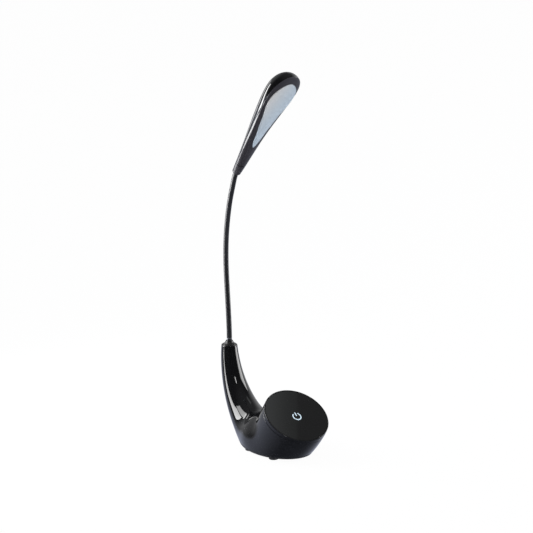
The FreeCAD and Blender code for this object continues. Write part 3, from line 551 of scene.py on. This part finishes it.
class Graph:
    """Node tree of a material or the world."""

    def __init__(self, tree):
        self.tree = tree
        tree.nodes.clear()

    def node(self, kind, settings=None, inputs=None, out=0):
        """Adds a node: its settings first, then values or wires into its sockets."""
        made = self.tree.nodes.new(kind)
        for key, value in (settings or {}).items():
            setattr(made, key, value)
        for key, value in (inputs or {}).items():
            if isinstance(value, Wire):
                self.tree.links.new(value.socket, made.inputs[key])
            else:
                made.inputs[key].default_value = value
        return Wire(self, made.outputs[out]) if len(made.outputs) else made

    def mix(self, amount, first, second):
        """Colour between two colours."""
        return self.node("ShaderNodeMix", {"data_type": "RGBA"},
                         {"Factor": amount, MIX_FIRST: first, MIX_SECOND: second}, out=MIX_RESULT)

    def spot(self):
        """Object coordinates of the point being shaded, in metres."""
        return self.node("ShaderNodeTexCoord", out="Object")

    def along(self, vector, direction):
        """Dot product of a vector and a fixed direction."""
        return self.node("ShaderNodeVectorMath", {"operation": "DOT_PRODUCT"},
                         {0: vector, 1: tuple(direction)}, out="Value")

    def noise(self, scale, detail=2.0, rough=0.5):
        """Noise from 0 to 1 on Object coordinates; the scale is per metre."""
        return self.node("ShaderNodeTexNoise", None, {"Vector": self.spot(), "Scale": scale,
                                                      "Detail": detail, "Roughness": rough})

    def bump(self, height, distance, strength):
        """Normal of a skin lifted by a height times a distance in metres."""
        return self.node("ShaderNodeBump", None, {"Height": height, "Distance": distance,
                                                  "Strength": strength})

    def surface(self, **sockets):
        """Principled shader with named sockets, joined to the output."""
        names = {key.replace("_", " "): value for key, value in sockets.items()}
        shader = self.node("ShaderNodeBsdfPrincipled", None, names)
        self.node("ShaderNodeOutputMaterial", None, {"Surface": shader})


def material(name):
    """A new finish and its graph."""
    made = bpy.data.materials.new(name)
    made.use_nodes = True
    return made, Graph(made.node_tree)


def wear(made, *pieces):
    """Gives a finish to pieces or CAD nodes."""
    for piece in pieces:
        target = NODES[piece] if isinstance(piece, str) else piece
        target.data.materials.clear()
        target.data.materials.append(made)
    print(made.name, "on", len(pieces), "piece" if len(pieces) == 1 else "pieces")


# %% [markdown]
# ## Glossy black plastic
# The base, the ring and the crown are polished black mouldings. One flat colour would do, but such
# plastic isn't quite even. A very faint noise varies its gloss, and its black leans a little blue.

# %% Gloss finish
gloss, graph = material("gloss black")
cloud = graph.noise(45, 3)
gloss_colour = graph.mix(cloud, (0.0020, 0.0021, 0.0026, 1), (0.0030, 0.0031, 0.0038, 1))
graph.surface(Base_Color=gloss_colour, Roughness=cloud * 0.04 + 0.04, IOR=1.5)
wear(gloss, base_skin, rim, crown_piece)

# %% [markdown]
# The touch panel is a coated sheet, harder and a shade greyer than the mouldings. The symbol in it
# is a pale blue-white light pipe that glows very softly. It could be painted on the panel, but the
# CAD has it as a solid, so it needs only a finish of its own.

# %% Panel finishes
panel_gloss, graph = material("panel gloss")
cloud = graph.noise(60, 3)
panel_colour = graph.mix(cloud, (0.0030, 0.0031, 0.0032, 1), (0.0042, 0.0043, 0.0044, 1))
graph.surface(Base_Color=panel_colour, Roughness=cloud * 0.02 + 0.035, IOR=1.5)
wear(panel_gloss, "touch_panel")

symbol, graph = material("symbol light")
glow = graph.noise(900, 2)
symbol_colour = graph.mix(glow, (0.50, 0.66, 0.76, 1), (0.66, 0.78, 0.86, 1))
graph.surface(Base_Color=symbol_colour, Roughness=0.3, Emission_Color=symbol_colour,
              Emission_Strength=0.12)
wear(symbol, "power_symbol")

# %% [markdown]
# ## Satin, sleeve and rubber
# The bezel, the neck's cover and the bottom cover have a fine spark-eroded texture. The gooseneck's
# sleeve and the collar under it are smooth dark rubber. The feet are plain matt rubber. Real grain
# would take millions of faces, so fine noise stands in for it as a bump. Painted shade: a fine dark
# line across the satin stands for the shadow in the gap where the neck's cover meets the bezel.

# %% Satin and rubber finishes
# painted shade: the dark core and soft edge of a line for the shadow in the seam's gap
SEAM_AT, SEAM_SHADE_CORE, SEAM_SHADE_EDGE = 15.5 * MM, 0.5 * MM, 1.0 * MM


def textured(name, dark, light, rough, grain, depth, seam_shade=None):
    """Moulded plastic or rubber: fine noise tints it, varies its roughness and lifts its skin.
    A seam, given as a direction and a distance along it in metres, gets a fine dark line of painted
    shade for the shadow in its gap."""
    made, graph = material(name)
    fine = graph.noise(grain, 4, 0.6)
    broad = graph.noise(60, 2)
    colour = graph.mix(fine * 0.6 + broad * 0.4, (*dark, 1), (*light, 1))
    if seam_shade:
        way, distance = seam_shade
        # painted shade: the colour turns near black close to the seam
        away = abs(graph.along(graph.spot(), way) - distance)
        colour = graph.mix(away.ramp(SEAM_SHADE_CORE, SEAM_SHADE_EDGE), (0.001, 0.001, 0.001, 1), colour)
    graph.surface(Base_Color=colour, Roughness=fine * 0.12 + rough,
                  Normal=graph.bump(fine, depth, 0.5))
    return made


head_seam_shade = (head_way, float(head_way @ [0, HEAD_Y, HEAD_Z]) * MM + SEAM_AT)
wear(textured("satin bezel", (0.022, 0.020, 0.025), (0.030, 0.028, 0.033), 0.32, 2600, 0.02 * MM,
              head_seam_shade), "head_bezel", "neck_cover")
wear(textured("matt cover", (0.010, 0.010, 0.011), (0.018, 0.018, 0.020), 0.45, 2200, 0.06 * MM),
     "bottom_cover")
wear(textured("foot rubber", (0.012, 0.012, 0.013), (0.022, 0.022, 0.023), 0.6, 1800, 0.06 * MM),
     feet)
wear(textured("neck sleeve", (0.003, 0.003, 0.003), (0.006, 0.006, 0.006), 0.26, 2400, 0.002 * MM),
     *sleeves, collar, "head_ferrule")
wear(textured("socket plastic", (0.010, 0.010, 0.011), (0.016, 0.016, 0.017), 0.4, 2000,
              0.03 * MM), "power_socket")

# %% [markdown]
# ## The diffuser
# The light window is frosted and unlit: pale blue-grey. Its colour carries painted light: a little
# warmer and lighter at its upper left and cooler along its lower edge. Glass with scattering inside
# would be slow and noisy. An unlit window looks the same as an opaque one, so two tints, blended
# as painted light, and a soft sheen are enough.

# %% Diffuser finish
# painted light: the window's colour turns lighter and warmer upwards and towards -X
PAINTED_LIGHT_UP, PAINTED_LIGHT_LEFT, PAINTED_LIGHT_FROM = 6.0, 22.0, 2.1  # per metre up, per metre to -X, and the start
frost, graph = material("frosted diffuser")
parts = graph.node("ShaderNodeSeparateXYZ", None, {"Vector": graph.spot()})
side, height = parts.output("X"), parts.output("Z")
# painted light: a mask that is 1 at the upper left, where the window is painted as lit
painted_light = (height * PAINTED_LIGHT_UP - side * PAINTED_LIGHT_LEFT - PAINTED_LIGHT_FROM).ramp(0.0, 1.0)
speck = graph.noise(1500, 3)
frost_colour = graph.mix(painted_light, (0.40, 0.475, 0.545, 1), (0.545, 0.53, 0.51, 1))
graph.surface(Base_Color=frost_colour, Roughness=speck * 0.1 + 0.32, IOR=1.45,
              Normal=graph.bump(speck, 0.003 * MM, 0.4))
wear(frost, "head_diffuser", film)

# %% [markdown]
# ## Inside pieces
# Nothing inside shows while the lamp is whole, but each piece still gets the finish it would have:
# cast iron, tinned and zinc-plated steel, circuit boards and white reflectors.

# %% Inside finishes
def metal(name, dark, light, rough, grain):
    """Metal with a fine unevenness in tint and polish."""
    made, graph = material(name)
    fine = graph.noise(grain, 3)
    graph.surface(Base_Color=graph.mix(fine, (*dark, 1), (*light, 1)), Metallic=1.0,
                  Roughness=fine * 0.15 + rough)
    return made


wear(metal("zinc steel", (0.45, 0.45, 0.46), (0.6, 0.6, 0.61), 0.25, 900), "cover_screws",
     "board_screws", "neck_anchor", "neck_nut", "touch_pad")
wear(metal("sheet aluminium", (0.6, 0.6, 0.61), (0.7, 0.7, 0.71), 0.3, 600), "heat_spreader")
wear(textured("cast iron", (0.05, 0.05, 0.052), (0.10, 0.10, 0.102), 0.55, 700, 0.2 * MM),
     "ballast")
wear(textured("green board", (0.02, 0.12, 0.05), (0.03, 0.16, 0.07), 0.35, 1200, 0.02 * MM),
     "touch_board")
wear(textured("white board", (0.70, 0.70, 0.68), (0.78, 0.78, 0.76), 0.4, 1200, 0.02 * MM),
     "led_board", "reflector_tray", "indicator_light")
wear(textured("phosphor", (0.75, 0.62, 0.18), (0.85, 0.72, 0.25), 0.4, 2500, 0.02 * MM),
     "led_chips")

# %% [markdown]
# ## Camera
# The camera stands four metres away with a long lens, as a product photographer would place it, so
# the lamp's upright lines stay parallel. Its directions to the right and back to itself serve the
# studio too.

# %% Camera
AZIMUTH, ELEVATION, DISTANCE = math.radians(-34.5), math.radians(14.8), 4.0
TARGET = np.array([0.0103, 0.0179, 0.2040])
LENS, SENSOR, FARTHEST = 240.3, 36.0, 50.0


def facing(side, back, place):
    """Matrix of a camera or lamp at a place, with X along side and its back along back."""
    pose = np.eye(4)
    pose[:3] = np.column_stack([side, np.cross(back, side), back, place])
    return pose


flat_back = np.array([math.sin(AZIMUTH), -math.cos(AZIMUTH), 0.0])
back = flat_back * math.cos(ELEVATION) + (0, 0, math.sin(ELEVATION))
right = np.array([math.cos(AZIMUTH), math.sin(AZIMUTH), 0.0])
camera_data = bpy.data.cameras.new("camera")
camera_data.lens, camera_data.sensor_width = LENS, SENSOR
camera_data.clip_end = FARTHEST
camera = add_object("camera", camera_data, facing(right, back, TARGET + back * DISTANCE))
bpy.context.scene.camera = camera
print("camera at", (TARGET + back * DISTANCE).round(3))

# %% [markdown]
# ## Floor
# The floor is pale paper that keeps the lamp's shadow. To the camera it glows almost white, so it
# runs into the white surroundings with no edge. It is left out of reflections, where it would lie
# as a grey veil over the polished black.

# %% Floor
FLOOR_REACH, FLOOR_GLOW = 6.0, 0.96


def studio_plate(name, corners):
    """Flat plate of four corners in metres that belongs to the studio and not to the lamp."""
    mesh = bpy.data.meshes.new(name)
    mesh.from_pydata(np.asarray(corners).tolist(), [], [(0, 1, 2, 3)])
    plate = add_object(name, mesh)
    return plate


def backdrop_rays(graph):
    """Masks of the rays that see the backdrop: from the camera, off gloss and through glass."""
    rays = graph.node("ShaderNodeLightPath")
    return [rays.output(kind) for kind in ("Is Camera Ray", "Is Glossy Ray", "Is Transmission Ray")]


floor = studio_plate("floor", np.array([(-1, -1, 0), (1, -1, 0), (1, 1, 0), (-1, 1, 0)])
                     * FLOOR_REACH)
paper, graph = material("floor paper")
grain = graph.noise(8, 2)
lit = graph.node("ShaderNodeBsdfDiffuse", None,
                 {"Color": graph.mix(grain, (0.86, 0.87, 0.89, 1), (0.88, 0.89, 0.91, 1))})
white = graph.node("ShaderNodeEmission", None, {"Color": (1, 1, 1, 1)})
from_camera, off_gloss, through_glass = backdrop_rays(graph)
seen = from_camera.most(off_gloss).most(through_glass)
blend = graph.node("ShaderNodeMixShader", None, {0: seen * FLOOR_GLOW, 1: lit, 2: white})
graph.node("ShaderNodeOutputMaterial", None, {"Surface": blend})
wear(paper, floor)
floor.visible_glossy = False

# %% [markdown]
# ## Surroundings
# Polished black shows nothing but its surroundings, so reflections get a room of their own: a dim
# ceiling, pale walls behind the lamp, a pale ground that darkens straight below, and dark in front.
# Real walls would also shade the lamp, so the room is drawn in the world, for glossy rays only. The
# camera sees white, and everything else gets an even soft light.

# %% World
CEILING, GLOOM = 0.16, 0.07
WALL_LEFT, WALL_GAIN, WALL_BACK_FADE, WALL_TOP_FADE = 0.3, 0.5, 0.4, 0.92
GROUND_BELOW, GROUND_GAIN = 0.08, 0.46
DEGREES = 180 / math.pi
world = bpy.data.worlds.new("studio")
bpy.context.scene.world = world
world.use_nodes = True
graph = Graph(world.node_tree)
way = graph.node("ShaderNodeVectorMath", {"operation": "NORMALIZE"},
                 {0: graph.node("ShaderNodeTexCoord")})
to_right, to_front, up = (graph.along(way, axis) for axis in (right, flat_back, (0, 0, 1)))

# %% [markdown]
# Two angles in degrees place everything: `leaning` goes round the lamp from its front, positive to
# the right, and `rise` goes up from the horizon. Smooth steps between two such angles bound the
# ceiling, the walls and the ground.

# %% Room for reflections
leaning = to_right.maths("ARCTAN2", to_right, to_front) * DEGREES
turn = abs(leaning)
rise = up.maths("ARCSINE", up) * DEGREES
ceiling = rise.ramp(30, 75) * CEILING
behind = turn.ramp(112, 132) * (1 - turn.ramp(150, 172) * WALL_BACK_FADE)
upright = rise.ramp(-12, -2) * (1 - rise.ramp(20, 55) * WALL_TOP_FADE)
walls = behind * upright * (leaning.ramp(-60, 60) * WALL_GAIN + WALL_LEFT)
ground = (rise.ramp(-70, -14) * GROUND_GAIN + GROUND_BELOW) * (1 - rise.ramp(-13, -5))
tint = graph.mix(rise.ramp(-14, -5), (0.90, 0.96, 1.18, 1), (0.97, 0.98, 1.0, 1))
room = graph.node("ShaderNodeVectorMath", {"operation": "SCALE"},
                  {0: tint, "Scale": ceiling + walls + ground + GLOOM})
from_camera, off_gloss, through_glass = backdrop_rays(graph)
soft = graph.mix(off_gloss, (0.70, 0.70, 0.71, 1), room)
sky_colour = graph.mix(from_camera.most(through_glass), soft, (1, 1, 1, 1))
sky = graph.node("ShaderNodeBackground", None, {"Color": sky_colour})
graph.node("ShaderNodeOutputWorld", None, {"Surface": sky})
print("room of", len(world.node_tree.nodes), "nodes")

# %% [markdown]
# ## Soft boxes
# Soft boxes near the lamp show at other places on the head than on the base, which a pattern in the
# world can't do, so they are area lamps. The left box stands lower than the head: it draws the wide
# streak on the horn and leaves the head dark. The upper box lights the left edge of the bowl and
# the crown near the neck. Two tall strips further back draw the fine double line on the head, and a
# box on the right and a small one over the camera give the other highlights. They light matt
# surfaces only a little, apart from the one over the camera. An azimuth is counted round the lamp
# from the camera.

# %% Lamps
def soft_box(name, azimuth, height, distance, wide, tall, radiance, middle=0.15, spread_on=0.15):
    """Area lamp of a given radiance that faces a point at a height on the lamp's axis. Its power
    is radiance x pi x area; spread_on is its share in diffuse light."""
    a, e = math.radians(azimuth), math.radians(height)
    out = (flat_back * math.cos(a) + right * math.sin(a)) * math.cos(e) + (0, 0, math.sin(e))
    side = right * math.cos(a) - flat_back * math.sin(a)
    place = out * distance + (0, 0, middle)
    data = bpy.data.lights.new(name, "AREA")
    data.shape = "RECTANGLE"
    data.size, data.size_y = wide, tall
    data.energy = radiance * math.pi * wide * tall
    data.diffuse_factor = spread_on
    add_object(name, data, facing(side, out, place)).visible_camera = False
    print(f"{name}: {data.energy:.2f} W at {place.round(2)}")


soft_box("left box", -101, 3, 0.45, 0.21, 0.22, 11.0, middle=0.13)
soft_box("upper box", -103, 41, 0.36, 0.22, 0.13, 7.0, middle=0.03)
soft_box("left strip", -128, 0, 0.5, 0.065, 0.27, 9.0, middle=0.40)
soft_box("far strip", -151, 0, 0.5, 0.045, 0.25, 2.6, middle=0.38)
soft_box("right box", 105, 11, 2.5, 1.45, 1.9, 7.0)
soft_box("front box", 14, 42, 2.5, 0.25, 0.42, 14.0, spread_on=1.0)

# %% [markdown]
# ## A card for the touch panel
# The flat touch panel mirrors a dim card that hangs behind and above the lamp. The card ends along
# a straight edge, so the left of the panel looks a shade lighter than its right. The card stands
# where the camera's view goes once the panel has mirrored it: m = v - 2 (v . n) n.

# %% Card's place
CARD_AWAY, CARD_HALF_HEIGHT, CARD_WIDTH, CARD_FADE, SHADE_EDGE = 0.8, 0.12, 0.16, 0.06, 0.0095
mirror_way = -back + 2 * (back @ panel_normal) * panel_normal
edge_way = np.cross(panel_normal, right)
edge_way -= (edge_way @ mirror_way) * mirror_way
edge_way /= np.linalg.norm(edge_way)
card_side = np.cross(mirror_way, edge_way)
card_side *= -np.sign(card_side @ right)
panel_spot = np.array([0, PANEL_Y, PANEL_Z]) * MM + right * SHADE_EDGE
card_edge = panel_spot + mirror_way * CARD_AWAY
rows = np.array([-1, -1, 1, 1])[:, None] * CARD_HALF_HEIGHT
columns = np.array([0, 1, 1, 0])[:, None] * CARD_WIDTH
card = studio_plate("card", card_edge + rows * edge_way + columns * card_side)
print("card edge at", card_edge.round(3))

# %% Card
dim, graph = material("card paper")
across = graph.along(graph.spot(), card_side) - float(card_edge @ card_side)
glow = graph.mix(across.ramp(0.0, CARD_FADE), (0.32, 0.335, 0.335, 1), (0.77, 0.80, 0.81, 1))
lit = graph.node("ShaderNodeEmission", None, {"Color": glow})
graph.node("ShaderNodeOutputMaterial", None, {"Surface": lit})
wear(dim, card)
card.visible_camera = card.visible_diffuse = card.visible_shadow = False
bpy.context.scene.view_settings.view_transform = "Standard"
